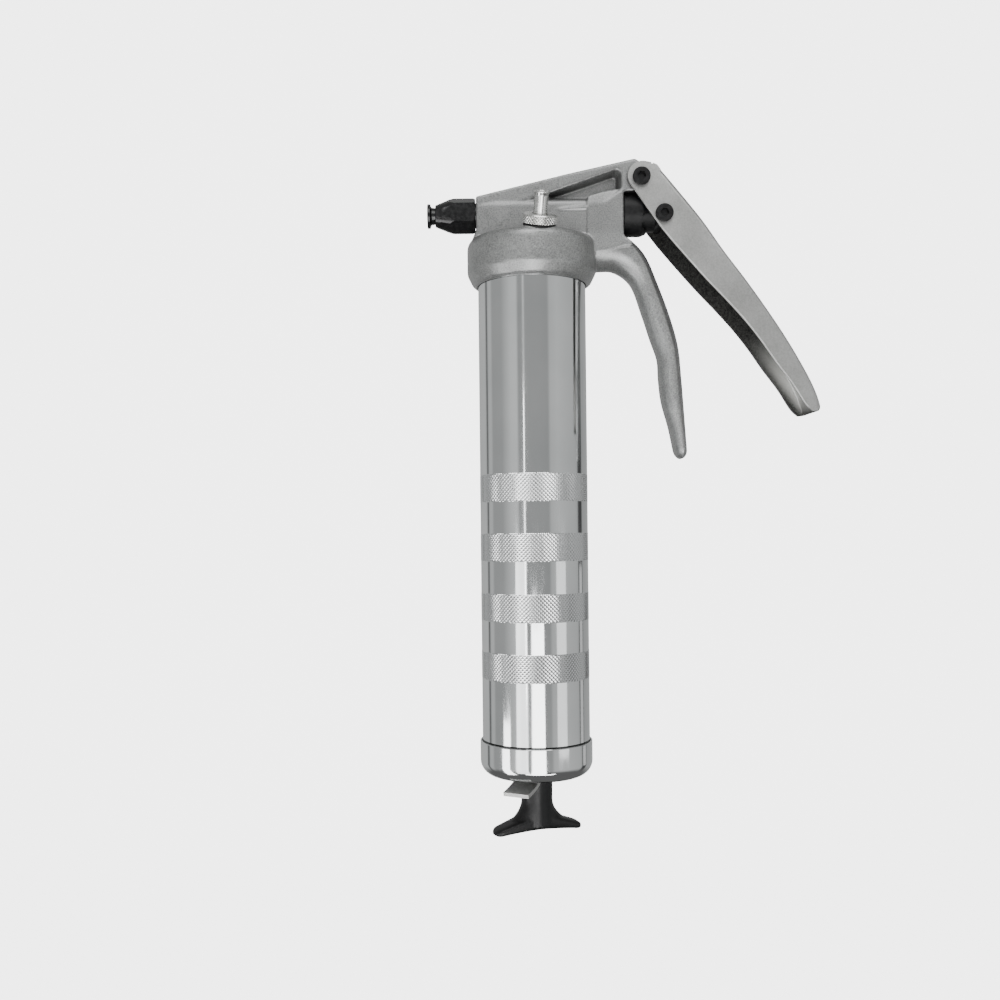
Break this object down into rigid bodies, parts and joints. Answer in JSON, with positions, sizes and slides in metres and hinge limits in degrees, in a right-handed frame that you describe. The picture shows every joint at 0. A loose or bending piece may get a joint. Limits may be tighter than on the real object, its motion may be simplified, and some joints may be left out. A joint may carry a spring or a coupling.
{
  "type": "grease gun",
  "caption": "One-hand pistol-grip grease gun: cast head with fixed handle, sprung channel lever, knurled plated barrel, follower rod with T-handle and latch.",
  "frame": {"origin": "centre of the barrel cap's flat underside, on the barrel axis", "axes": "+Z along the barrel to the head, -X along the outlet, +X to the lever, -Y out of the face with the bleed valve"},
  "size_m": [0.2025, 0.0691, 0.3516],
  "materials": {
    "cast_aluminium": "blasted die casting, satin on worn edges",
    "bright_plate": "bright plated",
    "brushed_steel": "fine brushed, satin",
    "black_steel": "black oxide, semi-gloss",
    "spring_steel": "drawn",
    "nickel": "nickel plated",
    "brass": "turned",
    "black_plastic": "moulded, semi-matte",
    "rubber": "matte"
  },
  "bodies": {
    "head": {"head_casting": "cast_aluminium", "pump_liner": "spring_steel", "plunger_seal": "rubber", "check_seat": "brass", "check_spring": "spring_steel", "coupler_body": "black_steel", "coupler_mouthpiece": "black_steel", "coupler_jaws": "spring_steel", "coupler_seal": "rubber", "gland_cup": "black_steel", "return_spring": "spring_steel", "head_gasket": "rubber", "valve_body": "nickel", "valve_spring": "spring_steel", "valve_o_ring": "rubber"},
    "lever": {"lever": "brushed_steel", "pivot_screw": "black_steel", "pivot_nut": "black_steel", "link_screw": "black_steel", "link_nut": "black_steel"},
    "plunger": {"plunger": "black_steel"},
    "barrel": {"barrel_tube": "bright_plate", "barrel_cap": "bright_plate", "rod_bush": "brass", "follower_spring": "spring_steel", "latch_spring": "spring_steel"},
    "follower": {"follower_rod": "bright_plate", "handle_pin": "spring_steel", "t_handle": "black_plastic", "follower_plate": "spring_steel", "follower_cup": "rubber", "follower_washer": "spring_steel", "follower_nut": "spring_steel"},
    "latch": {"latch_plate": "brushed_steel"},
    "valve_collar": {"valve_nut": "nickel"},
    "valve_pin": {"valve_stem": "nickel"},
    "check": {"check_ball": "spring_steel"}
  },
  "joints": [
    {"name": "lever_pivot", "type": "hinge", "parent": "head", "child": "lever", "pos_m": [0.0563, 0, 0.3096], "axis": [0, 1, 0], "range_deg": [0, 20], "stiffness_Nm_per_rad": 0.8, "springref_deg": -40.11},
    {"name": "plunger_slide", "type": "slide", "parent": "head", "child": "plunger", "axis": [-1, 0, 0], "range_m": [0, 0.0075], "deforming": ["return_spring"]},
    {"name": "barrel_turn", "type": "hinge", "parent": "head", "child": "barrel", "pos_m": [0, 0, 0.27], "axis": [0, 0, 1], "range_deg": [0, 720]},
    {"name": "follower_slide", "type": "slide", "parent": "barrel", "child": "follower", "axis": [0, 0, -1], "range_m": [0, 0.19], "stiffness_N_per_m": 80, "springref_m": -0.15, "deforming": ["follower_spring"]},
    {"name": "latch_press", "type": "hinge", "parent": "barrel", "child": "latch", "pos_m": [0.00545, 0.01069, 0.0024], "axis": [-0.891, 0.454, 0], "range_deg": [0, 3], "stiffness_Nm_per_rad": 0.4, "springref_deg": -6.88, "deforming": ["latch_spring"]},
    {"name": "valve_turn", "type": "hinge", "parent": "head", "child": "valve_collar", "pos_m": [0.003, -0.025, 0.2831], "axis": [0.0632, -0.4226, 0.9041], "range_deg": [0, 360]},
    {"name": "valve_press", "type": "slide", "parent": "head", "child": "valve_pin", "axis": [-0.0632, 0.4226, -0.9041], "range_m": [0, 0.0015], "stiffness_N_per_m": 900, "springref_m": -0.003, "deforming": ["valve_spring"]},
    {"name": "check_lift", "type": "slide", "parent": "head", "child": "check", "axis": [-1, 0, 0], "range_m": [0, 0.0015], "stiffness_N_per_m": 300, "springref_m": -0.003, "deforming": ["check_spring"]}
  ],
  "couplings": [
    {"joint": "plunger_slide", "follows": "lever_pivot", "m_per_rad": 0.02062}
  ]
}
